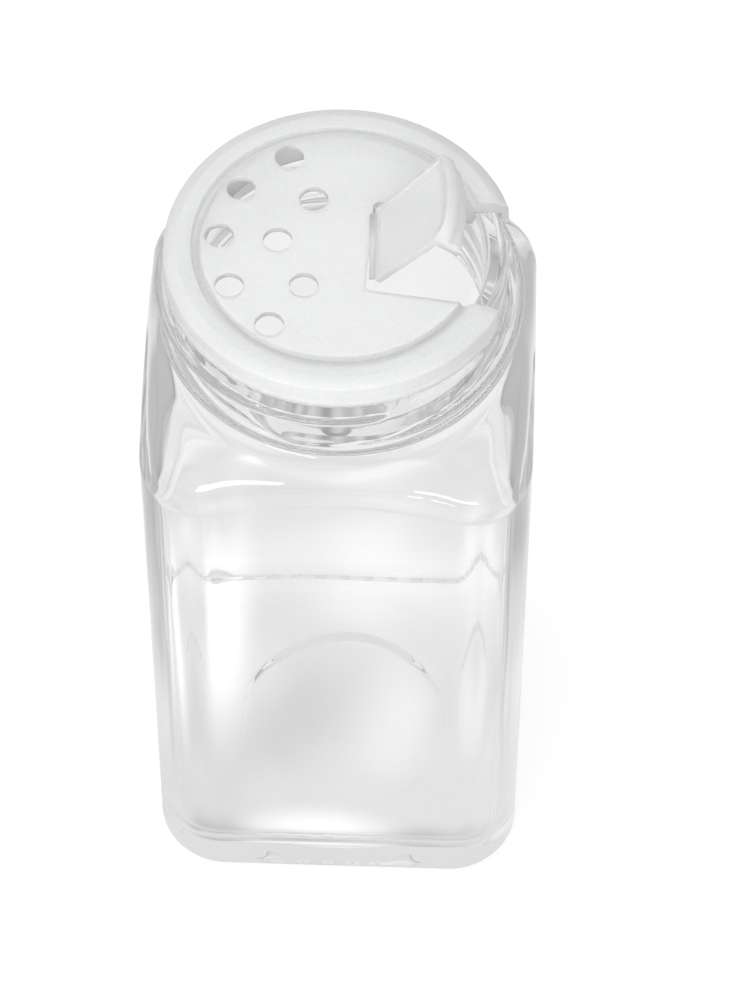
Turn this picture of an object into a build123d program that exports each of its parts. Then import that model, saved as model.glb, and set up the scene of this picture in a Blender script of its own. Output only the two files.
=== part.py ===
from build123d import *
import math
import os

# Square glass spice jar with a push-on shaker insert whose pour flap stands open.
# Millimetres, +Z up. The origin is the centre of the base, on the surface that the
# jar stands on. The front of the jar faces -Y and the pour side of the insert +X.

# Glass body
body_side = 45.0
body_corner_radius = 8.5
glass_wall = 2.4
base_thickness = 4.4
heel_radius = 2.6
inner_heel_radius = 4.0
shoulder_height = 87.0
shoulder_edge_radius = 3.6
inner_shoulder_radius = 3.0
punt_radius = 13.0
punt_depth = 1.1
punt_edge_radius = 0.8

# Glass neck
neck_height = 13.5
neck_radius = 18.9
neck_wall = 2.45
lip_outer_radius = 1.1
lip_inner_radius = 0.5
neck_root_radius = 2.3
root_ring_radius = 1.1
mouth_flare_radius = 3.0
bead_rise = 4.0
bead_proud = 1.0
bead_radius = 1.3

# Shaker insert: a panel, a ring channel round it, a rim on the glass lip, a skirt and a plug
rim_thickness = 1.8
rim_slope_width = 1.4
rim_seat_gap = 0.3
rim_slope_drop = 0.65
rim_edge_radius = 0.3
panel_thickness = 0.8
channel_width = 1.15
channel_depth = 0.7
channel_draft = 0.25
skirt_depth = 3.6
skirt_wall = 0.65
skirt_draft = 0.2
skirt_clearance = 0.25
snap_bead_proud = 0.12
snap_bead_height = 0.5
plug_clearance = 0.15
plug_wall = 0.8
plug_depth = 3.0
plug_tip_wall = 0.45

# Sift holes: one outer and one inner arc about the insert's axis
hole_radius = 1.65
outer_arc_inset = 2.0
outer_arc_count = 5
inner_arc_radius = 7.0
inner_arc_count = 3
arc_start_angle = 120.0
arc_sweep_angle = 120.0

# Pour opening, flap and living hinge
insert_turn_angle = -3.0
opening_back = 3.3
opening_back_half = 6.2
opening_rim_half = 7.4
opening_corner_radius = 0.6
flap_heel_gap = 0.9
flap_heel_half = 5.0
flap_tip_half = 5.75
flap_tip_reach = 0.45
flap_near_corner_radius = 3.2
flap_plug_gap = 0.55
flap_border = 0.6
flap_face_depth = 0.25
flap_face_corner_radius = 2.4
flap_seat_gap = 0.1
flap_skew_angle = 4.5
flap_open_angle = 51.0
hinge_web_thickness = 0.3
hinge_web_inset = 0.5

overrun = 5.0

# Heights and radii that follow from the sizes above
inner_side = body_side - 2 * glass_wall
inner_corner_radius = body_corner_radius - glass_wall
inner_shoulder_height = shoulder_height - glass_wall
lip_height = shoulder_height + neck_height
bead_height = shoulder_height + bead_rise
mouth_radius = neck_radius - neck_wall
rim_top = lip_height + rim_thickness
panel_bottom = rim_top - panel_thickness
channel_floor = rim_top - channel_depth
flap_seat = lip_height + flap_seat_gap
flap_plug_radius = mouth_radius - flap_plug_gap
skirt_top_radius = neck_radius + skirt_clearance + skirt_wall
rim_crest_radius = skirt_top_radius - rim_slope_width
rim_inner_radius = mouth_radius + rim_seat_gap
panel_radius = rim_inner_radius - channel_width
outer_arc_radius = panel_radius - outer_arc_inset
flap_tip_radius = mouth_radius + flap_tip_reach
skirt_bottom_radius = skirt_top_radius + skirt_draft
skirt_bottom = rim_top - skirt_depth
skirt_bore_radius = skirt_top_radius - skirt_wall
cut_reach = skirt_bottom_radius + overrun
plug_radius = mouth_radius - plug_clearance
plug_bottom = panel_bottom - plug_depth

# The insert is pushed on by hand and sits turned a little against the square body, and
# the flap hangs a little askew on its web
insert_plane = Plane.XY.rotated((0, 0, insert_turn_angle))
hinge_x = opening_back + flap_heel_gap / 2
hinge_z = rim_top - hinge_web_thickness / 2
hinge_plane = Plane(
    origin=insert_plane.from_local_coords((hinge_x, 0, hinge_z)),
    x_dir=insert_plane.x_dir.rotate(Axis.Z, flap_skew_angle),
    z_dir=insert_plane.z_dir,
)
hinge_axis = Axis(hinge_plane.origin, -hinge_plane.y_dir)
pour_axis = Axis(hinge_plane.origin, hinge_plane.x_dir)


def upper_outline():
    """Upper side of panel, ring channel and rim, from the axis to the outer edge."""
    return [
        (0, rim_top),
        (panel_radius, rim_top),
        (panel_radius + channel_draft, channel_floor),
        (rim_inner_radius - channel_draft, channel_floor),
        (rim_inner_radius, rim_top),
        (rim_crest_radius, rim_top),
        (skirt_top_radius, rim_top - rim_slope_drop),
    ]


def wedge_outline(back, back_half, tip, tip_half, reach):
    """Plan of a wedge with its half widths given at back and tip, drawn on as far as reach."""
    flare = (tip_half - back_half) / (tip - back)
    far_half = back_half + flare * (reach - back)
    return [(back, back_half), (reach, far_half), (reach, -far_half), (back, -back_half)]


# Glass jar: the space inside it
with BuildPart() as jar_hollow:
    with BuildSketch(Plane.XY.offset(base_thickness)):
        RectangleRounded(inner_side, inner_side, inner_corner_radius)
    extrude(amount=inner_shoulder_height - base_thickness)
    fillet(jar_hollow.faces().sort_by(Axis.Z)[0].edges(), inner_heel_radius)
    fillet(jar_hollow.faces().sort_by(Axis.Z)[-1].edges(), inner_shoulder_radius)
    with BuildSketch(Plane.XZ):
        with BuildLine():
            flare_foot = (mouth_radius + mouth_flare_radius, inner_shoulder_height)
            flare_top = (mouth_radius, inner_shoulder_height + mouth_flare_radius)
            Polyline(
                (0, inner_shoulder_height - mouth_flare_radius),
                (flare_foot[0], inner_shoulder_height - mouth_flare_radius),
                flare_foot,
            )
            RadiusArc(flare_foot, flare_top, mouth_flare_radius)
            Polyline(
                flare_top,
                (mouth_radius, lip_height + overrun),
                (0, lip_height + overrun),
                (0, inner_shoulder_height - mouth_flare_radius),
            )
        make_face()
    revolve(axis=Axis.Z)

# Glass jar: body, neck ring and transfer bead, with the hollow taken out
with BuildPart() as glass_jar:
    with BuildSketch(Plane.XY):
        RectangleRounded(body_side, body_side, body_corner_radius)
    extrude(amount=shoulder_height)
    fillet(glass_jar.faces().sort_by(Axis.Z)[-1].edges(), shoulder_edge_radius)
    fillet(glass_jar.faces().sort_by(Axis.Z)[0].edges(), heel_radius)
    with BuildSketch(Plane.XZ):
        with BuildLine():
            root_top = (neck_radius, shoulder_height + neck_root_radius)
            root_foot = (neck_radius + neck_root_radius, shoulder_height)
            ring_foot = (root_foot[0] + root_ring_radius, shoulder_height - root_ring_radius)
            ring_base = shoulder_height - shoulder_edge_radius - heel_radius
            Polyline((0, ring_base), (ring_foot[0], ring_base), ring_foot)
            RadiusArc(ring_foot, root_foot, -root_ring_radius)
            RadiusArc(root_foot, root_top, neck_root_radius)
            Polyline(root_top, (neck_radius, lip_height), (0, lip_height), (0, ring_base))
        make_face()
    revolve(axis=Axis.Z)
    with BuildSketch(Plane.XZ):
        with Locations((neck_radius + bead_proud - bead_radius, bead_height)):
            Circle(bead_radius)
    revolve(axis=Axis.Z)
    add(jar_hollow.part, mode=Mode.SUBTRACT)
    with BuildSketch(Plane.XY):
        Circle(punt_radius)
    extrude(amount=punt_depth, mode=Mode.SUBTRACT)
    punt_rim = glass_jar.edges().filter_by(GeomType.CIRCLE).filter_by_position(Axis.Z, 0, 0)
    fillet(punt_rim, punt_edge_radius)
    lip_edges = glass_jar.edges().filter_by(GeomType.CIRCLE).group_by(Axis.Z)[-1]
    fillet(lip_edges.sort_by(SortBy.RADIUS)[-1], lip_outer_radius)
    lip_edges = glass_jar.edges().filter_by(GeomType.CIRCLE).group_by(Axis.Z)[-1]
    fillet(lip_edges.sort_by(SortBy.RADIUS)[0], lip_inner_radius)

# Shaker insert: turned section, then the pour opening and the sift holes
with BuildPart() as shaker_insert:
    with BuildSketch(Plane.XZ) as insert_section:
        with BuildLine():
            under_side = [
                (skirt_bottom_radius, skirt_bottom),
                (skirt_bottom_radius - skirt_wall, skirt_bottom),
                (skirt_bore_radius - snap_bead_proud, skirt_bottom + snap_bead_height),
                (skirt_bore_radius, skirt_bottom + 2 * snap_bead_height),
                (skirt_bore_radius, lip_height),
                (plug_radius, lip_height),
                (plug_radius, plug_bottom + plug_wall),
                (plug_radius - plug_wall + plug_tip_wall, plug_bottom),
                (plug_radius - plug_wall, plug_bottom),
                (plug_radius - plug_wall, panel_bottom),
                (0, panel_bottom),
            ]
            Polyline(*upper_outline(), *under_side, close=True)
        make_face()
        crest = insert_section.vertices().filter_by_position(Axis.X, rim_crest_radius, skirt_top_radius)
        fillet(crest.group_by(Axis.Y)[-1] + crest.group_by(Axis.Y)[-2], rim_edge_radius)
    revolve(axis=Axis.Z)
    opening_corners = wedge_outline(
        opening_back, opening_back_half, skirt_top_radius, opening_rim_half, cut_reach
    )
    with BuildSketch(insert_plane.offset(plug_bottom - overrun)) as opening_plan:
        Polygon(*opening_corners, align=None)
        back_corners = opening_plan.vertices().sort_by(pour_axis)[:2]
        fillet(back_corners, opening_corner_radius)
    extrude(amount=plug_depth + panel_thickness + rim_thickness + 2 * overrun, mode=Mode.SUBTRACT)
    for arc_radius, arc_count in (
        (outer_arc_radius, outer_arc_count),
        (inner_arc_radius, inner_arc_count),
    ):
        with Locations(insert_plane.offset(rim_top)):
            with PolarLocations(arc_radius, arc_count, arc_start_angle, arc_sweep_angle, endpoint=True):
                Hole(hole_radius)

# Pour flap: panel with a sunk face and a piece of plug wall, turned closed and then swung up
with BuildPart() as closed_flap:
    with BuildSketch(Plane.XZ):
        with BuildLine():
            Polyline(
                (0, rim_top),
                (flap_tip_radius, rim_top),
                (flap_tip_radius, flap_seat),
                (flap_plug_radius, flap_seat),
                (flap_plug_radius, plug_bottom + plug_wall),
                (flap_plug_radius - plug_wall + plug_tip_wall, plug_bottom),
                (flap_plug_radius - plug_wall, plug_bottom),
                (flap_plug_radius - plug_wall, panel_bottom),
                (0, panel_bottom),
                close=True,
            )
        make_face()
    revolve(axis=Axis.Z)
    flap_reach = flap_tip_radius - hinge_x
    flap_corners = wedge_outline(
        flap_heel_gap / 2, flap_heel_half, flap_reach, flap_tip_half, flap_reach + overrun
    )
    with BuildSketch(hinge_plane.offset(-plug_depth - overrun)) as flap_plan:
        Polygon(*flap_corners, align=None)
        with Locations((-hinge_x, 0)):
            Circle(flap_tip_radius, mode=Mode.INTERSECT)
        tip_corners = flap_plan.vertices().sort_by(pour_axis)[-2:]
        fillet(tip_corners.sort_by(Axis.Y)[0], flap_near_corner_radius)
    extrude(amount=plug_depth + panel_thickness + 2 * overrun, mode=Mode.INTERSECT)
    face_corners = wedge_outline(
        flap_heel_gap / 2 + flap_border,
        flap_heel_half - flap_border,
        flap_reach - flap_border,
        flap_tip_half - flap_border,
        flap_reach + overrun,
    )
    with BuildSketch(hinge_plane.offset(rim_top - hinge_z)) as flap_face:
        Polygon(*face_corners, align=None)
        with Locations((-hinge_x, 0)):
            Circle(flap_tip_radius - flap_border, mode=Mode.INTERSECT)
        tip_corners = flap_face.vertices().sort_by(pour_axis)[-2:]
        fillet(tip_corners.sort_by(Axis.Y)[0], flap_face_corner_radius)
    extrude(amount=-flap_face_depth, mode=Mode.SUBTRACT)
with BuildPart() as pour_flap:
    add(closed_flap.part.rotate(hinge_axis, flap_open_angle))

# Living hinge: a thin web bent between the panel's edge and the heel of the flap, trimmed
# to the line of the panel's edge
with BuildPart() as living_hinge:
    bend_angle = math.radians(flap_open_angle)
    half_gap = flap_heel_gap / 2
    bend_radius = half_gap / math.tan(bend_angle / 2)
    outer_bend = bend_radius + hinge_web_thickness / 2
    inner_bend = bend_radius - hinge_web_thickness / 2
    with BuildSketch(Plane(hinge_plane.origin, x_dir=hinge_plane.x_dir, z_dir=-hinge_plane.y_dir)):
        with BuildLine():
            bend_centre = (-half_gap, bend_radius)
            under_arc = CenterArc(bend_centre, outer_bend, -90, flap_open_angle)
            upper_arc = CenterArc(bend_centre, inner_bend, -90, flap_open_angle)
            Polyline(
                under_arc @ 0,
                (-flap_heel_gap, -hinge_web_thickness / 2),
                (-flap_heel_gap, hinge_web_thickness / 2),
                upper_arc @ 0,
            )
            Line(under_arc @ 1, upper_arc @ 1)
        make_face()
    extrude(amount=flap_heel_half - hinge_web_inset, both=True)
    with BuildSketch(insert_plane.offset(panel_bottom)):
        with Locations((opening_back, 0)):
            Rectangle(2 * flap_heel_gap, 2 * opening_back_half, align=(Align.MIN, Align.CENTER))
    extrude(amount=2 * panel_thickness, mode=Mode.INTERSECT)

os.makedirs("parts", exist_ok=True)
for name, piece in (
    ("glass_jar", glass_jar),
    ("shaker_insert", shaker_insert),
    ("pour_flap", pour_flap),
    ("living_hinge", living_hinge),
):
    piece.part.label = name
    export_step(piece.part, f"parts/{name}.step")
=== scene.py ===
"""Visible surfaces, floor, light and camera of a square glass spice jar with a shaker insert.

The jar is one closed glass skin with a screw thread. The insert, its pour flap and the web
between them are natural polypropylene. Sizes are in millimetres until a mesh is made.
"""

import logging
import math
from dataclasses import dataclass
from enum import Enum
from typing import Sequence

import bpy
import numpy as np
from mathutils import Matrix, Vector


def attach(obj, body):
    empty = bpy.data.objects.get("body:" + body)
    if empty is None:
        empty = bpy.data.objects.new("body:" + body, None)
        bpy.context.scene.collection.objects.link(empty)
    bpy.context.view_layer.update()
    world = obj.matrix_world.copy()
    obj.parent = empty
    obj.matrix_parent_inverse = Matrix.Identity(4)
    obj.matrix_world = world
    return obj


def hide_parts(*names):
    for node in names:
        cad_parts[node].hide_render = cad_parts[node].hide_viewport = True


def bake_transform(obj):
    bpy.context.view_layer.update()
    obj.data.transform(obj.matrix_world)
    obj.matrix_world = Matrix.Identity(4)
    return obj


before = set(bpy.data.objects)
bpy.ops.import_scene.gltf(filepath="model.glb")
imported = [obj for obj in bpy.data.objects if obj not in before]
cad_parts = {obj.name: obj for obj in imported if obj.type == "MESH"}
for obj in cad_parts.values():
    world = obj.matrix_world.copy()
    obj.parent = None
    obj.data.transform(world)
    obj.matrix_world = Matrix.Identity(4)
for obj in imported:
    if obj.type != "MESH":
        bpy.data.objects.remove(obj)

MILLIMETRE = 0.001
LOG = logging.getLogger("spice_jar")

Range = tuple[float, float]
Pair = tuple[float, float]
Point = tuple[float, float, float]
Colour = tuple[float, float, float, float]


# Shader graphs


class Wire:
    """An output of a shader graph that can be used in arithmetic."""

    def __init__(self, graph: "Graph", socket: bpy.types.NodeSocket) -> None:
        """Keeps the graph and the socket that the value comes from."""
        self.graph = graph
        self.socket = socket

    def _maths(self, operation: str, first: "Wire | float", second: "Wire | float") -> "Wire":
        """Adds one Math node.

        Args:
            operation: The Math node's operation.
            first: The first value.
            second: The second value.

        Returns:
            The node's result.
        """
        return self.graph.node("ShaderNodeMath", {"operation": operation}, {0: first, 1: second})

    def __add__(self, other: "Wire | float") -> "Wire":
        """Returns the sum."""
        return self._maths("ADD", self, other)

    def __radd__(self, other: "Wire | float") -> "Wire":
        """Returns the sum."""
        return self._maths("ADD", other, self)

    def __sub__(self, other: "Wire | float") -> "Wire":
        """Returns the difference."""
        return self._maths("SUBTRACT", self, other)

    def __rsub__(self, other: "Wire | float") -> "Wire":
        """Returns the difference, taken from the other value."""
        return self._maths("SUBTRACT", other, self)

    def __mul__(self, other: "Wire | float") -> "Wire":
        """Returns the product."""
        return self._maths("MULTIPLY", self, other)

    def __rmul__(self, other: "Wire | float") -> "Wire":
        """Returns the product."""
        return self._maths("MULTIPLY", other, self)

    def larger(self, other: "Wire | float") -> "Wire":
        """Returns the larger of the two values."""
        return self._maths("MAXIMUM", self, other)

    def above(self, limit: float) -> "Wire":
        """Returns 1 where the value is above the limit and 0 elsewhere."""
        return self._maths("GREATER_THAN", self, limit)

    def ramp(self, low: float, high: float, start: float, end: float) -> "Wire":
        """Maps a range of this value smoothly on another.

        Args:
            low: The value at which the result is start.
            high: The value at which the result is end.
            start: The result at low and below.
            end: The result at high and above.

        Returns:
            The mapped value.
        """
        return self.graph.node(
            "ShaderNodeMapRange",
            {"interpolation_type": "SMOOTHSTEP"},
            {"Value": self, "From Min": low, "From Max": high, "To Min": start, "To Max": end},
        )


class Graph:
    """The nodes of one material or world, made by type, settings and inputs."""

    def __init__(self, owner: "bpy.types.Material | bpy.types.World") -> None:
        """Empties the owner's node tree and keeps it."""
        owner.use_nodes = True
        self.tree = owner.node_tree
        self.tree.nodes.clear()

    def node(
        self,
        kind: str,
        settings: "dict[str, object] | None" = None,
        inputs: "dict[int | str, object] | None" = None,
        output: "int | str" = 0,
    ) -> Wire:
        """Adds a node.

        Args:
            kind: The node's type.
            settings: The node's own properties, set before its sockets.
            inputs: Values or wires by socket name or number.
            output: The socket to return.

        Returns:
            The chosen output.
        """
        made = self.tree.nodes.new(kind)
        for name, value in (settings or {}).items():
            setattr(made, name, value)
        for name, value in (inputs or {}).items():
            if isinstance(value, Wire):
                self.tree.links.new(value.socket, made.inputs[name])
            else:
                made.inputs[name].default_value = value
        return Wire(self, made.outputs[output])

    def vector(
        self, operation: str, first: "Wire | Sequence", second: "Wire | Sequence"
    ) -> Wire:
        """Adds one Vector Math node whose result is a vector.

        Args:
            operation: The node's operation.
            first: The first vector.
            second: The second vector.

        Returns:
            The node's result.
        """
        return self.node("ShaderNodeVectorMath", {"operation": operation}, {0: first, 1: second})

    def length(self, vector: Wire) -> Wire:
        """Returns the length of a vector."""
        return self.node("ShaderNodeVectorMath", {"operation": "LENGTH"}, {0: vector}, output="Value")

    def part(self, vector: Wire, axis: str) -> Wire:
        """Returns the X, Y or Z part of a vector."""
        return self.node("ShaderNodeSeparateXYZ", inputs={0: vector}, output=axis)

    def noise(self, place: Wire, scale: float, detail: float) -> Wire:
        """Adds a noise texture.

        Args:
            place: Where to take it.
            scale: How often it repeats in a metre.
            detail: How many finer layers it has.

        Returns:
            The noise, from 0 to 1.
        """
        return self.node(
            "ShaderNodeTexNoise", inputs={"Vector": place, "Scale": scale, "Detail": detail}
        )

    def bump(self, height: Wire, strength: float, distance: float) -> Wire:
        """Adds a bump.

        Args:
            height: The pattern that lifts the surface.
            strength: Its share, from 0 to 1.
            distance: How high it lifts, in metres.

        Returns:
            The bent normal.
        """
        return self.node(
            "ShaderNodeBump", inputs={"Strength": strength, "Distance": distance, "Height": height}
        )

    def mix(self, share: Wire, first: Wire, second: Wire) -> Wire:
        """Returns the first shader where the share is 0 and the second where it is 1."""
        return self.node("ShaderNodeMixShader", inputs={0: share, 1: first, 2: second})

    def finish(self, kind: str, surface: Wire) -> None:
        """Links a shader to the tree's output node of the given type."""
        made = self.tree.nodes.new(kind)
        self.tree.links.new(surface.socket, made.inputs["Surface"])


class RaySide(Enum):
    """The kinds of ray that a surface or the room can show a brightness of its own to."""

    CAMERA = "Is Camera Ray"
    GLOSSY = "Is Glossy Ray"
    TRANSMISSION = "Is Transmission Ray"
    SHADOW = "Is Shadow Ray"


def seen_by(graph: Graph, *sides: RaySide) -> Wire:
    """Returns 1 for the named kinds of ray and 0 for the others.

    Args:
        graph: The graph to add to.
        sides: The kinds of ray.

    Returns:
        The switch.
    """
    switch = graph.node("ShaderNodeLightPath", output=sides[0].value)
    for side in sides[1:]:
        switch = switch.larger(graph.node("ShaderNodeLightPath", output=side.value))
    return switch


def long_trapped(graph: Graph, mirrors: float, depth: float) -> Wire:
    """Returns 1 for rays that were mirrored or passed on more often than the limits.

    Args:
        graph: The graph to add to.
        mirrors: The limit for mirrorings.
        depth: The limit for all kinds together.

    Returns:
        The switch.
    """
    mirrored = graph.node("ShaderNodeLightPath", output="Glossy Depth").above(mirrors)
    return mirrored.larger(graph.node("ShaderNodeLightPath", output="Ray Depth").above(depth))


# Finishes


@dataclass(frozen=True)
class GlassFinish:
    """Clear flint glass with a fire-polished skin.

    A ray that the glass has mirrored more often than the renderer counts would end black. It
    ends on a plain light instead, which stands for the room: base, wall and neck light by
    height, with upright streaks. Places are heights in metres.
    """

    name: str = "clear_flint_glass"
    colour: Colour = (0.985, 0.99, 0.988, 1.0)
    index: float = 1.52
    roughness: float = 0.0
    ripple_scale: float = 55.0
    ripple_height: float = 0.00006
    ripple_strength: float = 0.6
    shadow_share: float = 0.88
    shadow_tint: Colour = (0.97, 0.98, 0.975, 1.0)
    mirror_limit: float = 3.5
    depth_limit: float = 9.5
    base_light: float = 0.74
    wall_light: float = 0.5
    neck_light: float = 0.62
    base_range: Range = (0.004, 0.07)
    neck_range: Range = (0.087, 0.093)
    streak_stretch: Point = (240.0, 240.0, 30.0)
    streak_noise: Range = (0.3, 0.7)
    streak_depth: float = 0.14
    streak_start: Range = (0.006, 0.025)
    streak_end: Range = (0.082, 0.088)

    def make(self) -> bpy.types.Material:
        """Builds the material.

        Returns:
            The material.
        """
        material = bpy.data.materials.new(self.name)
        graph = Graph(material)
        place = graph.node("ShaderNodeTexCoord", output="Object")
        ripple = graph.noise(place, self.ripple_scale, 1.0)
        normal = graph.bump(ripple, self.ripple_strength, self.ripple_height)
        glass = graph.node(
            "ShaderNodeBsdfPrincipled",
            inputs={
                "Base Color": self.colour,
                "Roughness": self.roughness,
                "IOR": self.index,
                "Transmission Weight": 1.0,
                "Normal": normal,
            },
        )
        trapped = long_trapped(graph, self.mirror_limit, self.depth_limit)
        mean = graph.node("ShaderNodeEmission", inputs={"Color": self.mean_light(graph, place)})
        ended = graph.mix(trapped, glass, mean)
        clear = graph.node("ShaderNodeBsdfTransparent", inputs={"Color": self.shadow_tint})
        shadow = seen_by(graph, RaySide.SHADOW) * self.shadow_share
        graph.finish("ShaderNodeOutputMaterial", graph.mix(shadow, ended, clear))
        return material

    def mean_light(self, graph: Graph, place: Wire) -> Wire:
        """Builds the light that stands for long trapped rays.

        Args:
            graph: The graph to add to.
            place: The place on the glass.

        Returns:
            The light.
        """
        height = graph.part(place, "Z")
        streak = graph.noise(graph.vector("MULTIPLY", place, self.streak_stretch), 1.0, 1.0)
        light = height.ramp(*self.base_range, self.base_light, self.wall_light)
        light = light + height.ramp(*self.neck_range, 0.0, self.neck_light - self.wall_light)
        uneven = streak.ramp(*self.streak_noise, -self.streak_depth, self.streak_depth)
        uneven = uneven * height.ramp(*self.streak_start, 0.0, 1.0)
        return light + uneven * height.ramp(*self.streak_end, 1.0, 0.0)


@dataclass(frozen=True)
class PolymerFinish:
    """Natural polypropylene: milky, with a satin skin and a fine moulded grain.

    A ray that is trapped in it for too long ends on a plain light, as in the glass.
    """

    name: str = "natural_polypropylene"
    colour: Point = (0.87, 0.875, 0.875)
    index: float = 1.49
    roughness: float = 0.32
    roughness_spread: float = 0.03
    cloud_scale: float = 160.0
    cloud_noise: Range = (0.2, 0.8)
    transmission: float = 0.58
    bleed: float = 0.7
    bleed_reach: float = 0.0012
    mottle: float = 0.03
    grain_scale: float = 3200.0
    grain_height: float = 0.000018
    grain_strength: float = 0.5
    grain_noise: Range = (0.3, 0.7)
    mirror_limit: float = 2.5
    depth_limit: float = 6.5
    trapped_light: float = 0.84
    shadow_share: float = 0.5
    shadow_tint: Colour = (0.95, 0.95, 0.95, 1.0)

    def make(self) -> bpy.types.Material:
        """Builds the material.

        Returns:
            The material.
        """
        material = bpy.data.materials.new(self.name)
        graph = Graph(material)
        place = graph.node("ShaderNodeTexCoord", output="Object")
        grain = graph.noise(place, self.grain_scale, 3.0)
        cloud = graph.noise(place, self.cloud_scale, 2.0)
        shade = grain.ramp(*self.grain_noise, 1.0 - self.mottle, 1.0 + self.mottle)
        rough = cloud.ramp(
            *self.cloud_noise,
            self.roughness - self.roughness_spread,
            self.roughness + self.roughness_spread,
        )
        polymer = graph.node(
            "ShaderNodeBsdfPrincipled",
            inputs={
                "Base Color": graph.vector("MULTIPLY", self.colour, shade),
                "Roughness": rough,
                "IOR": self.index,
                "Transmission Weight": self.transmission,
                "Subsurface Weight": self.bleed,
                "Subsurface Radius": (1.0, 1.0, 1.0),
                "Subsurface Scale": self.bleed_reach,
                "Normal": graph.bump(grain, self.grain_strength, self.grain_height),
            },
        )
        mean = graph.node("ShaderNodeEmission", inputs={"Strength": self.trapped_light})
        trapped = long_trapped(graph, self.mirror_limit, self.depth_limit)
        ended = graph.mix(trapped, polymer, mean)
        clear = graph.node("ShaderNodeBsdfTransparent", inputs={"Color": self.shadow_tint})
        shadow = seen_by(graph, RaySide.SHADOW) * self.shadow_share
        graph.finish("ShaderNodeOutputMaterial", graph.mix(shadow, ended, clear))
        return material


@dataclass(frozen=True)
class LightPatch:
    """A soft lighter or darker spot that the glass throws on the floor, seen only through it.

    Its place and half size are in millimetres, to the right and to the back.
    """

    place: Pair
    half_size: Pair
    strength: float

    def add(self, graph: Graph, position: Wire) -> Wire:
        """Builds the spot.

        Args:
            graph: The graph to add to.
            position: The place on the floor.

        Returns:
            Its strength, falling to nothing at its edge.
        """
        centre = tuple(v * MILLIMETRE for v in self.place)
        scale = tuple(1 / (v * MILLIMETRE) for v in self.half_size)
        moved = graph.vector("SUBTRACT", position, (*centre, 0.0))
        sized = graph.vector("MULTIPLY", moved, (*scale, 0.0))
        return graph.length(sized).ramp(0.0, 1.0, self.strength, 0.0)


@dataclass(frozen=True)
class FloorFinish:
    """A plain white sweep that shows white and keeps a soft shadow.

    Through glass and in mirrorings it shows a glow instead, which falls off to the sides, as
    the edges of clear glass show dark on white. Places are in metres from the jar's axis.
    """

    name: str = "white_sweep"
    colour: Colour = (0.86, 0.86, 0.86, 1.0)
    glow_share: float = 0.72
    glow: float = 1.06
    clear_share: float = 0.9
    side_range: Range = (0.035, 0.11)
    near_glow: float = 0.9
    far_glow: float = 0.46
    open_range: Range = (-0.09, -0.035)
    front_range: Range = (-0.03, 0.03)
    # painted shade: how much darker the glow is under and in front of the jar
    front_shade: float = 0.15
    cloud_scale: float = 45.0
    cloud_noise: Range = (0.35, 0.65)
    cloud_depth: float = 0.07
    patches: tuple[LightPatch, ...] = (
        LightPatch((-3.0, -16.0), (13.0, 5.0), 0.48),
        LightPatch((7.5, 2.0), (8.0, 12.0), 0.22),
        LightPatch((-16.0, 14.0), (5.5, 26.0), 0.38),
        LightPatch((2.0, 24.0), (16.0, 16.0), 0.16),
        LightPatch((0.0, 46.0), (30.0, 22.0), -0.11),
        LightPatch((-14.5, -18.0), (5.5, 5.5), -0.3),
        LightPatch((11.0, -18.0), (7.0, 4.5), -0.22),
        LightPatch((-6.0, 0.0), (10.0, 13.0), -0.14),
        LightPatch((0.0, -22.5), (26.0, 3.5), -0.2),
    )

    def make(self) -> bpy.types.Material:
        """Builds the material.

        Returns:
            The material.
        """
        material = bpy.data.materials.new(self.name)
        graph = Graph(material)
        place = graph.node("ShaderNodeTexCoord", output="Object")
        camera = seen_by(graph, RaySide.CAMERA)
        clear = seen_by(graph, RaySide.GLOSSY, RaySide.TRANSMISSION)
        brightness = camera * self.glow + (1 - camera) * self.through(graph, place)
        share = camera * self.glow_share + clear * self.clear_share
        paper = graph.node("ShaderNodeBsdfDiffuse", inputs={"Color": self.colour})
        light = graph.node("ShaderNodeEmission", inputs={"Color": brightness})
        graph.finish("ShaderNodeOutputMaterial", graph.mix(share, paper, light))
        return material

    def through(self, graph: Graph, place: Wire) -> Wire:
        """Builds the glow that shows through glass.

        Args:
            graph: The graph to add to.
            place: The place on the floor.

        Returns:
            The glow.
        """
        across, along = graph.part(place, "X"), graph.part(place, "Y")
        cloud = graph.noise(place, self.cloud_scale, 1.0)
        uneven = cloud.ramp(*self.cloud_noise, -self.cloud_depth, self.cloud_depth)
        uneven = uneven * graph.length(place).ramp(*self.side_range, 1.0, 0.0)
        sideways = across.larger(0 - across)
        glow = sideways.ramp(*self.side_range, self.near_glow, self.far_glow) + uneven
        glow = glow.larger(along.ramp(*self.open_range, self.near_glow, 0.0))
        # Painted shade: the glow is darker towards the front, under the jar's front and in front of
        # it.
        glow = glow - along.ramp(*self.front_range, self.front_shade, 0.0)
        for patch in self.patches:
            glow = glow + patch.add(graph, place)
        return glow


# Shape helpers


def quarter_round(depth: np.ndarray, radius: float) -> np.ndarray:
    """How far a rounded edge or cove lies below its flat.

    Args:
        depth: Distance from where the round ends.
        radius: Its radius.

    Returns:
        The fall, from the radius at depth 0 to nothing at the radius and beyond.
    """
    return radius - np.sqrt(np.clip(radius**2 - np.clip(radius - depth, 0, radius) ** 2, 0, None))


def smooth_step(value: np.ndarray, low: float, high: float) -> np.ndarray:
    """A smooth rise from 0 at low to 1 at high.

    Args:
        value: Where to take it.
        low: Where the rise starts.
        high: Where the rise ends.

    Returns:
        The rise at each value.
    """
    share = np.clip((value - low) / (high - low), 0, 1)
    return share * share * (3 - 2 * share)


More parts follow.
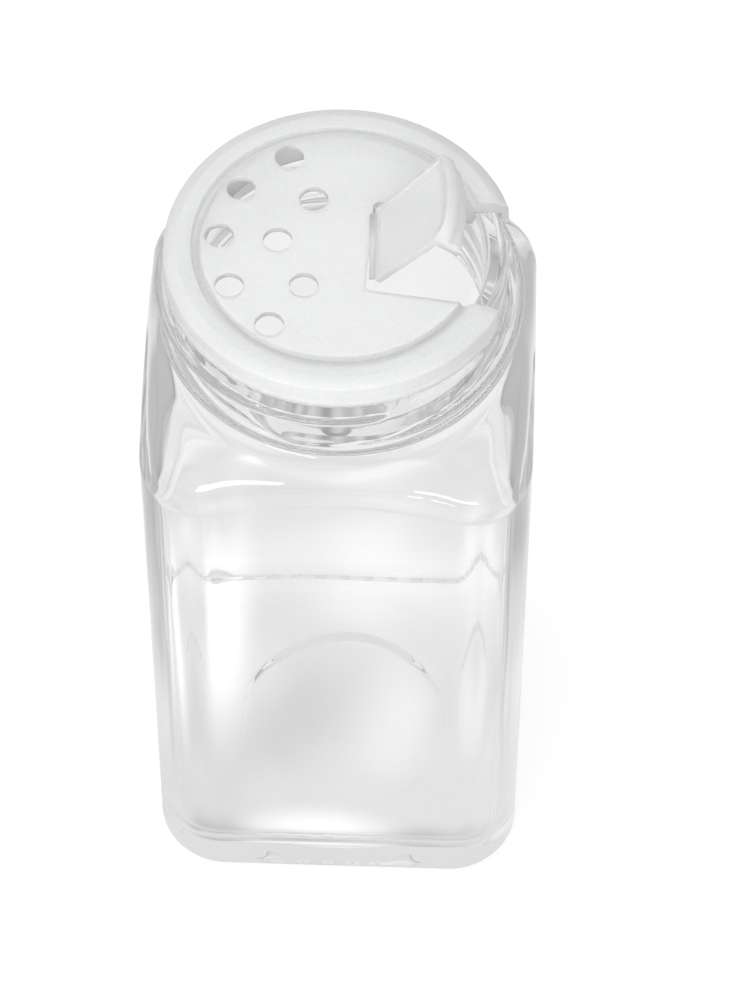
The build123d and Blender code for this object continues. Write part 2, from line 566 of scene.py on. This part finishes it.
@dataclass
class RoundedSquare:
    """A square plan with round corners, measured from its centre."""

    half: float
    corner: float
    least_corner: float = 0.4
    corner_start: float = 2.0

    def radius(self, angles: np.ndarray) -> np.ndarray:
        """Distance from the centre to the outline.

        Args:
            angles: Directions in radians.

        Returns:
            The distance in each direction.
        """
        wide = np.maximum(np.abs(np.cos(angles)), np.abs(np.sin(angles)))
        narrow = np.minimum(np.abs(np.cos(angles)), np.abs(np.sin(angles)))
        straight = self.half / wide
        core = self.half - self.corner
        along = core * (wide + narrow)
        turned = along + np.sqrt(np.clip(along**2 - 2 * core**2 + self.corner**2, 0, None))
        return np.where(straight * narrow <= core, straight, turned)

    def depth(self, angles: np.ndarray, radii: np.ndarray) -> np.ndarray:
        """How far inside the outline points lie.

        Args:
            angles: Directions in radians.
            radii: Distances from the centre.

        Returns:
            The depth, positive inside.
        """
        core = self.half - self.corner
        x = np.abs(radii * np.cos(angles)) - core
        y = np.abs(radii * np.sin(angles)) - core
        outside = np.hypot(np.clip(x, 0, None), np.clip(y, 0, None))
        return self.corner - outside - np.minimum(np.maximum(x, y), 0)

    def inset(self, depth: float) -> "RoundedSquare":
        """Returns the outline moved inwards by a depth."""
        return RoundedSquare(self.half - depth, max(self.corner - depth, self.least_corner))

    def nearness(self, radii: np.ndarray) -> np.ndarray:
        """Returns how near to a corner points lie, from 0 at a side's middle to 1."""
        tip = (self.half - self.corner) * math.sqrt(2) + self.corner
        return smooth_step(radii, self.half - self.corner_start, tip)


class Skin:
    """A closed mesh made of rings of points, one after another, with a fan at each end."""

    def __init__(self, angles: np.ndarray) -> None:
        """Starts an empty skin whose rings have a point in each direction."""
        self.angles = angles
        self.rings: list[np.ndarray] = []

    def ring(self, radii: "np.ndarray | float", heights: "np.ndarray | float") -> None:
        """Adds a ring.

        Args:
            radii: Distance from the axis, for all points or each.
            heights: Height, for all points or each.
        """
        radii = np.broadcast_to(radii, self.angles.shape)
        heights = np.broadcast_to(heights, self.angles.shape)
        self.rings.append(
            np.stack([radii * np.cos(self.angles), radii * np.sin(self.angles), heights], axis=1)
        )

    def mesh(self, name: str) -> bpy.types.Object:
        """Closes the first and last ring with a fan and makes the object.

        Args:
            name: The object's name.

        Returns:
            The object, in metres and smooth.
        """
        count = len(self.angles)
        first, last = self.rings[0].mean(axis=0), self.rings[-1].mean(axis=0)
        points = np.concatenate([*self.rings, [first, last]]) * MILLIMETRE
        here = np.arange(count)
        then = (here + 1) % count
        faces = []
        for row in range(len(self.rings) - 1):
            low, high = row * count, (row + 1) * count
            faces += np.stack([low + here, low + then, high + then, high + here], axis=1).tolist()
        start, end = len(points) - 2, len(points) - 1
        top = (len(self.rings) - 1) * count
        faces += [[start, int(b), int(a)] for a, b in zip(here, then)]
        faces += [[end, int(top + a), int(top + b)] for a, b in zip(here, then)]
        return make_object(name, points, faces)


def make_object(name: str, points: np.ndarray, faces: Sequence) -> bpy.types.Object:
    """Makes a smooth mesh object.

    Args:
        name: The object's name.
        points: Corners in metres.
        faces: Corner numbers of each face.

    Returns:
        The object, linked to the scene.
    """
    mesh = bpy.data.meshes.new(name)
    mesh.from_pydata(points.tolist(), [], faces)
    mesh.shade_smooth()
    mesh.update()
    made = bpy.data.objects.new(name, mesh)
    bpy.context.scene.collection.objects.link(made)
    return made


# Pieces


@dataclass(frozen=True)
class Rows:
    """How many rings each stretch of the glass has, in the order in which they are laid."""

    punt: int = 8
    punt_edge: int = 14
    band: int = 20
    heel: int = 10
    wall: int = 34
    shoulder: int = 60
    neck: int = 83
    lip_outside: int = 8
    lip_inside: int = 6
    mouth: int = 14
    inner_shoulder: int = 52
    inner_wall: int = 43
    inner_heel: int = 24
    inner_floor: int = 15


@dataclass(frozen=True)
class Swell:
    """One wave round the glass: its share, its count, and how seed and height shift it."""

    share: float
    count: int
    seed_shift: float
    height_shift: float


@dataclass
class GlassJar:
    """Square glass body, round neck with a right-hand thread, and the hollow inside."""

    half: float = 22.5
    corner: float = 8.5
    wall: float = 2.4
    floor_height: float = 3.3
    floor_dome: float = 1.4
    dome_radius: float = 10.5
    dome_flat: float = 2.0
    floor_reach: float = 0.97
    heel_radius: float = 2.6
    inner_heel_rise: float = 8.0
    inner_heel_share: float = 0.4
    inner_heel_ease: float = 2.6
    inner_corner: float = 3.6
    shoulder_height: float = 87.0
    edge_radius: float = 3.6
    inner_edge_radius: float = 3.2
    corner_fall: float = 3.6
    neck_radius: float = 18.9
    root_radius: float = 2.3
    mouth_radius: float = 16.45
    flare_radius: float = 3.0
    lip_height: float = 100.5
    lip_outer_radius: float = 1.1
    lip_inner_radius: float = 0.5
    axis_gap: float = 0.6
    punt_flat: float = 10.8
    punt_top: float = 11.2
    punt_foot: float = 14.4
    punt_depth: float = 1.1
    band_radius: float = 15.0
    band_start: float = 0.1
    stipple_height: float = 0.09
    stipple_pitch: float = 3.3
    stipple_inset: float = 0.9
    stipple_half_width: float = 0.45
    thread_pitch: float = 4.2
    thread_proud: float = 2.1
    thread_half_width: float = 1.35
    thread_front_height: float = 96.6
    thread_top_turn: float = 0.1
    thread_bottom_turn: float = -1.1
    thread_run_out: float = 0.07
    bead_height: float = 90.3
    bead_proud: float = 1.8
    bead_half_width: float = 1.05
    ridge_fullness: float = 0.8
    outer_wave: float = 0.035
    outer_seed: float = 0.4
    inner_wave: float = 0.12
    inner_seed: float = 2.6
    swells: tuple[Swell, ...] = (
        Swell(0.45, 2, 1.7, 2.1),
        Swell(0.3, 3, -0.9, -5.3),
        Swell(0.25, 5, 2.3, 9.1),
        Swell(0.2, 1, 1.0, 7.7),
    )
    columns: int = 384
    rows: Rows = Rows()

    def __post_init__(self) -> None:
        """Lays out the directions in which the skin has points."""
        self.angles = np.linspace(-math.pi, math.pi, self.columns, endpoint=False)
        self.outer = RoundedSquare(self.half, self.corner)
        self.inner = RoundedSquare(self.half - self.wall, self.inner_corner)
        self.inner_shoulder = self.shoulder_height - self.wall

    def wave(self, share: float, seed: float) -> np.ndarray:
        """Slow unevenness of a glass wall, nothing at its two ends.

        Args:
            share: Place between the wall's low and high end.
            seed: Shifts the pattern.

        Returns:
            The offset for each direction, between about -1 and 1.
        """
        window = math.sin(math.pi * min(max(share, 0), 1)) ** 2
        pattern = np.zeros_like(self.angles)
        for swell in self.swells:
            shift = swell.seed_shift * seed + swell.height_shift * share
            pattern += swell.share * np.cos(swell.count * self.angles + shift)
        return window * pattern

    def base_rings(self, skin: Skin) -> None:
        """Adds the push-up, the stippled bearing band and the heel.

        Args:
            skin: The skin to add to.
        """
        lift = self.stipple_height
        flat = np.linspace(self.axis_gap, self.punt_flat, self.rows.punt)
        slope = np.linspace(self.punt_flat + self.axis_gap, self.band_radius, self.rows.punt_edge)
        for radius in np.concatenate([flat, slope]):
            rise = self.punt_depth * (1 - smooth_step(radius, self.punt_top, self.punt_foot))
            skin.ring(radius, lift + rise)
        reach = self.outer.inset(self.heel_radius).radius(self.angles)
        steps = np.hypot(np.diff(reach, append=reach[0]), reach * 2 * math.pi / self.columns)
        along = np.cumsum(steps)
        stipples = round(along[-1] / self.stipple_pitch)
        beat = np.clip(np.cos(along / along[-1] * stipples * 2 * math.pi), 0, None)
        for share in np.linspace(self.band_start, 1, self.rows.band):
            radii = self.band_radius + (reach - self.band_radius) * share
            depth = self.outer.depth(self.angles, radii) - self.heel_radius
            bump = np.exp(-(((depth - self.stipple_inset) / self.stipple_half_width) ** 2)) * beat
            skin.ring(radii, lift * (1 - bump))
        for turn in np.linspace(0, math.pi / 2, self.rows.heel + 1)[1:]:
            depth = self.heel_radius * (1 - math.sin(turn))
            rise = (self.heel_radius - lift) * (1 - math.cos(turn))
            skin.ring(self.outer.inset(depth).radius(self.angles), lift + rise)

    def wall_rings(self, skin: Skin) -> None:
        """Adds the upright outside wall.

        Args:
            skin: The skin to add to.
        """
        outline = self.outer.radius(self.angles)
        fall = self.corner_fall * self.outer.nearness(outline)
        low = self.heel_radius
        high = self.shoulder_height - self.edge_radius - fall
        for share in np.linspace(0, 1, self.rows.wall + 2)[1:-1]:
            bulge = self.wave(share, self.outer_seed) - 1
            skin.ring(outline + self.outer_wave * bulge, low + (high - low) * share)

    def shoulder_rings(self, skin: Skin) -> None:
        """Adds the shoulder: rounded at its edge, lower in its corners, coved up to the neck.

        Args:
            skin: The skin to add to.
        """
        outline = self.outer.radius(self.angles)
        for share in np.linspace(1, 0, self.rows.shoulder):
            outwards = (1 - math.cos(math.pi * share)) / 2
            radii = self.neck_radius + (outline - self.neck_radius) * outwards
            edge = quarter_round(self.outer.depth(self.angles, radii), self.edge_radius)
            cove = quarter_round(radii - self.neck_radius, self.root_radius)
            fall = self.corner_fall * self.outer.nearness(radii)
            skin.ring(radii, self.shoulder_height - edge - fall + cove)

    def thread(self, height: float) -> np.ndarray:
        """How far the thread stands out of the neck.

        Args:
            height: Height of the ring.

        Returns:
            The offset for each direction.
        """
        front = (self.angles + math.pi / 2) / (2 * math.pi)
        start, end = self.thread_bottom_turn, self.thread_top_turn
        proud = np.zeros_like(self.angles)
        for turn in range(math.floor(start) - 1, math.ceil(end) + 1):
            place = front + turn
            centre = self.thread_front_height + self.thread_pitch * place
            across = np.clip((height - centre) / self.thread_half_width, -1, 1)
            ends = smooth_step(place, start, start + self.thread_run_out)
            ends *= 1 - smooth_step(place, end - self.thread_run_out, end)
            ridge = np.cos(math.pi / 2 * across) ** self.ridge_fullness
            proud = np.maximum(proud, self.thread_proud * ends * ridge)
        return proud

    def neck_rings(self, skin: Skin) -> None:
        """Adds the neck with its bead and thread, and the lip.

        Args:
            skin: The skin to add to.
        """
        low = self.shoulder_height + self.root_radius
        high = self.lip_height - self.lip_outer_radius
        for height in np.linspace(low, high, self.rows.neck + 1)[1:]:
            across = min(abs(height - self.bead_height) / self.bead_half_width, 1)
            bead = self.bead_proud * math.cos(math.pi / 2 * across) ** self.ridge_fullness
            skin.ring(self.neck_radius + np.maximum(self.thread(height), bead), height)
        for turn in np.linspace(0, math.pi / 2, self.rows.lip_outside + 1)[1:]:
            inwards = self.lip_outer_radius * (1 - math.cos(turn))
            skin.ring(self.neck_radius - inwards, high + self.lip_outer_radius * math.sin(turn))
        top = self.lip_height - self.lip_inner_radius
        for turn in np.linspace(0, math.pi / 2, self.rows.lip_inside):
            outwards = self.lip_inner_radius * (1 - math.sin(turn))
            skin.ring(self.mouth_radius + outwards, top + self.lip_inner_radius * math.cos(turn))

    def bore_rings(self, skin: Skin) -> None:
        """Adds the mouth and the underside of the shoulder.

        Args:
            skin: The skin to add to.
        """
        top = self.lip_height - self.lip_inner_radius
        foot = self.inner_shoulder + self.flare_radius
        for height in np.linspace(top, foot, self.rows.mouth + 2)[1:-1]:
            skin.ring(self.mouth_radius, height)
        outline = self.inner.radius(self.angles)
        for share in np.linspace(0, 1, self.rows.inner_shoulder):
            outwards = (1 - math.cos(math.pi * share)) / 2
            radii = self.mouth_radius + (outline - self.mouth_radius) * outwards
            edge = quarter_round(self.inner.depth(self.angles, radii), self.inner_edge_radius)
            flare = quarter_round(radii - self.mouth_radius, self.flare_radius)
            fall = self.corner_fall * self.inner.nearness(radii)
            skin.ring(radii, self.inner_shoulder - edge - fall + flare)

    def hollow_rings(self, skin: Skin) -> None:
        """Adds the uneven inside wall, the inside heel and the domed floor.

        Args:
            skin: The skin to add to.
        """
        outline = self.inner.radius(self.angles)
        fall = self.corner_fall * self.inner.nearness(outline)
        low = self.floor_height + self.inner_heel_rise
        high = self.inner_shoulder - self.inner_edge_radius - fall
        for share in np.linspace(1, 0, self.rows.inner_wall + 1)[1:]:
            bulge = self.inner_wave * self.wave(share, self.inner_seed)
            skin.ring(outline + bulge, low + (high - low) * share)
        for step in np.linspace(0, 1, self.rows.inner_heel + 1)[1:]:
            share = 1 - self.inner_heel_share * step**self.inner_heel_ease
            sink = self.inner_heel_rise * (1 - (1 - step) ** self.inner_heel_ease)
            skin.ring(outline * share, low - sink)
        edge = outline * (1 - self.inner_heel_share)
        for share in np.linspace(0, self.floor_reach, self.rows.inner_floor + 1)[1:]:
            radii = edge * (1 - share)
            dome = self.floor_dome * (1 - smooth_step(radii, self.dome_flat, self.dome_radius))
            skin.ring(radii, self.floor_height + dome)

    def build(self, finish: GlassFinish) -> bpy.types.Object:
        """Builds the glass and puts it in place of the plain solid.

        Args:
            finish: The glass.

        Returns:
            The object.
        """
        skin = Skin(self.angles)
        self.base_rings(skin)
        self.wall_rings(skin)
        self.shoulder_rings(skin)
        self.neck_rings(skin)
        self.bore_rings(skin)
        self.hollow_rings(skin)
        made = skin.mesh("jar_glass")
        made.data.materials.append(finish.make())
        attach(made, "jar")
        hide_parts("glass_jar")
        return made


@dataclass
class ShakerInsert:
    """Push-on insert with its pour flap, and the thin web that joins them."""

    hinge_x: float = 3.7449
    hinge_y: float = -0.1963
    hinge_z: float = 102.15
    heel_gap: float = 0.9
    web_half: float = 4.5
    web_thickness: float = 0.3
    open_angle: float = 51.0
    hinge_turn: float = 1.5
    web_steps: int = 14
    join_reach: float = 0.001
    edge_round: float = 0.13
    edge_steps: int = 2
    edge_angle: float = 40.0

    def dress(self, material: bpy.types.Material) -> list[bpy.types.Object]:
        """Gives the carried-over solids their finish.

        Args:
            material: The polymer.

        Returns:
            The dressed objects.
        """
        dressed = []
        for node in ("shaker_insert", "pour_flap"):
            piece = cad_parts[node]
            piece.data.materials.clear()
            piece.data.materials.append(material)
            joining = piece.modifiers.new("edge_join", "WELD")
            joining.merge_threshold = self.join_reach * MILLIMETRE
            rounding = piece.modifiers.new("edge_round", "BEVEL")
            rounding.width = self.edge_round * MILLIMETRE
            rounding.segments = self.edge_steps
            rounding.limit_method = "ANGLE"
            rounding.angle_limit = math.radians(self.edge_angle)
            dressed.append(piece)
        return dressed

    def web(self, material: bpy.types.Material) -> bpy.types.Object:
        """Builds the bent web.

        Args:
            material: The polymer.

        Returns:
            The web.
        """
        bend, skew = math.radians(self.open_angle), math.radians(self.hinge_turn)
        half_gap = self.heel_gap / 2
        radius = half_gap / math.tan(bend / 2)
        points, faces = [], []
        for step in range(self.web_steps + 1):
            turn = bend * step / self.web_steps
            for side in (-1, 1):
                for face in (-1, 1):
                    reach = radius - face * self.web_thickness / 2
                    x, y = -half_gap + reach * math.sin(turn), side * self.web_half
                    points.append(
                        (
                            self.hinge_x + x * math.cos(skew) - y * math.sin(skew),
                            self.hinge_y + x * math.sin(skew) + y * math.cos(skew),
                            self.hinge_z + radius - reach * math.cos(turn),
                        )
                    )
        for step in range(self.web_steps):
            a, b = 4 * step, 4 * step + 4
            faces += [[a, a + 2, b + 2, b], [a + 1, b + 1, b + 3, a + 3]]
            faces += [[a, b, b + 1, a + 1], [a + 2, a + 3, b + 3, b + 2]]
        last = 4 * self.web_steps
        faces += [[0, 1, 3, 2], [last, last + 2, last + 3, last + 1]]
        made = make_object("hinge_web", np.array(points) * MILLIMETRE, faces)
        made.data.materials.append(material)
        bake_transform(made)
        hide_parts("living_hinge")
        return made

    def build(self, finish: PolymerFinish) -> list[bpy.types.Object]:
        """Dresses the solids and builds the web.

        Args:
            finish: The polymer.

        Returns:
            The objects.
        """
        material = finish.make()
        return [*self.dress(material), self.web(material)]


# Studio


@dataclass
class Softbox:
    """A rectangular lamp that points at the jar, seen in mirrorings only where it is mirrored."""

    name: str
    place: Point
    size: Pair
    power: float
    mirrored: bool = True
    aim: Point = (0.0, 0.0, 0.06)

    def build(self) -> bpy.types.Object:
        """Makes the lamp.

        Returns:
            The lamp.
        """
        lamp = bpy.data.lights.new(self.name, "AREA")
        lamp.shape = "RECTANGLE"
        lamp.size, lamp.size_y = self.size
        lamp.energy = self.power
        made = bpy.data.objects.new(self.name, lamp)
        made.location = self.place
        turn = Vector(self.aim) - Vector(self.place)
        made.rotation_euler = turn.to_track_quat("-Z", "Y").to_euler()
        made.visible_transmission = False
        made.visible_glossy = self.mirrored
        bpy.context.scene.collection.objects.link(made)
        return made


@dataclass
class Camera:
    """The camera at the photograph's viewing angle."""

    elevation: float = 55.806
    azimuth: float = 1.672
    roll: float = 0.277
    distance: float = 576.5
    shift_right: float = 4.064
    shift_up: float = 0.369
    target_height: float = 50.56
    focal_pixels: float = 4768.5
    frame_height: float = 1000.0
    sensor: float = 36.0
    clip_near: float = 0.01
    clip_far: float = 20.0

    def build(self) -> bpy.types.Object:
        """Makes the camera and sets it as the scene's.

        Returns:
            The camera.
        """
        e, a, r = (math.radians(v) for v in (self.elevation, self.azimuth, self.roll))
        back = Vector((math.sin(a) * math.cos(e), -math.cos(a) * math.cos(e), math.sin(e)))
        level = Vector((math.cos(a), math.sin(a), 0))
        upright = back.cross(level)
        right = level * math.cos(r) + upright * math.sin(r)
        up = upright * math.cos(r) - level * math.sin(r)
        place = Vector((0, 0, self.target_height)) + back * self.distance
        place = (place + right * self.shift_right + up * self.shift_up) * MILLIMETRE
        lens = bpy.data.cameras.new("photo_camera")
        lens.sensor_width = self.sensor
        lens.lens = self.focal_pixels / self.frame_height * self.sensor
        lens.clip_start, lens.clip_end = self.clip_near, self.clip_far
        made = bpy.data.objects.new("photo_camera", lens)
        turn = Matrix((right, up, back)).transposed().to_4x4()
        made.matrix_world = Matrix.Translation(place) @ turn
        bpy.context.scene.collection.objects.link(made)
        bpy.context.scene.camera = made
        return made


@dataclass
class Studio:
    """Floor, room light and lamps.

    Heights in the room are the upward part of a direction, from 0 at the horizon to 1. A dark
    dado just above the horizon gives the glass its dark lines, and is weaker behind the jar.
    """

    floor_size: float = 6.0
    room_light: float = 0.6
    wall_low: float = 0.44
    wall_high: float = 0.76
    wall_top: float = 0.5
    dado_depth: float = 0.48
    dado_height: float = 0.07
    dado_half: float = 0.05
    behind_range: Range = (0.3, 0.7)
    dado_behind: float = 0.15

    def floor(self, finish: FloorFinish) -> bpy.types.Object:
        """Makes the floor.

        Args:
            finish: Its finish.

        Returns:
            The floor.
        """
        corners = np.array([(-1, -1, 0), (1, -1, 0), (1, 1, 0), (-1, 1, 0)]) * self.floor_size / 2
        made = make_object("floor", corners, [[0, 1, 2, 3]])
        made.data.materials.append(finish.make())
        return made

    def room(self) -> None:
        """Makes the world: white to the camera, and a room with darker walls to the glass."""
        world = bpy.data.worlds.new("room")
        bpy.context.scene.world = world
        graph = Graph(world)
        direction = graph.node("ShaderNodeTexCoord", output="Generated")
        height, behind = graph.part(direction, "Z"), graph.part(direction, "Y")
        middle = self.dado_height
        dado = height.ramp(middle - self.dado_half, middle, 0.0, 1.0)
        dado = dado * height.ramp(middle, middle + self.dado_half, 1.0, 0.0)
        dado = dado * behind.ramp(*self.behind_range, 1.0, self.dado_behind)
        wall = height.ramp(0.0, self.wall_top, self.wall_low, self.wall_high)
        wall = wall - dado * self.dado_depth
        camera = seen_by(graph, RaySide.CAMERA)
        shiny = seen_by(graph, RaySide.GLOSSY, RaySide.TRANSMISSION)
        brightness = camera + (1 - camera) * (shiny * wall + (1 - shiny) * self.room_light)
        light = graph.node("ShaderNodeBackground", inputs={"Color": brightness, "Strength": 1.0})
        graph.finish("ShaderNodeOutputWorld", light)

    def lamps(self) -> list[bpy.types.Object]:
        """Makes the lamps.

        Returns:
            The lamps.
        """
        return [
            Softbox("key_softbox", (0.0, -0.9, 0.55), (1.0, 0.6), 6.5, mirrored=False).build(),
            Softbox("fill_softbox", (-0.3, 0.0, 0.85), (0.8, 0.8), 4.6, mirrored=False).build(),
            Softbox("left_strip", (-0.4, -0.9, 0.36), (0.5, 0.14), 1.2).build(),
            Softbox("right_strip", (0.42, -0.9, 0.22), (0.4, 0.07), 0.5).build(),
            Softbox("left_spark", (0.165, -0.8, 0.06), (0.04, 0.03), 0.028).build(),
            Softbox("right_spark", (0.22, -0.8, 0.06), (0.025, 0.02), 0.012).build(),
        ]

    def build(self) -> None:
        """Makes floor, room and lamps."""
        self.floor(FloorFinish())
        self.room()
        self.lamps()


def main() -> None:
    """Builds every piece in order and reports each."""
    logging.basicConfig(level=logging.INFO, format="%(name)s: %(message)s")
    bpy.context.scene.view_settings.view_transform = "Standard"
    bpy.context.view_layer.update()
    jar = GlassJar().build(GlassFinish())
    LOG.info("%s: %d points", jar.name, len(jar.data.vertices))
    for piece in ShakerInsert().build(PolymerFinish()):
        LOG.info("%s: %d points", piece.name, len(piece.data.vertices))
    Studio().build()
    camera = Camera().build()
    LOG.info("%s: lens %.1f mm", camera.name, camera.data.lens)


if __name__ == "__main__":
    main()
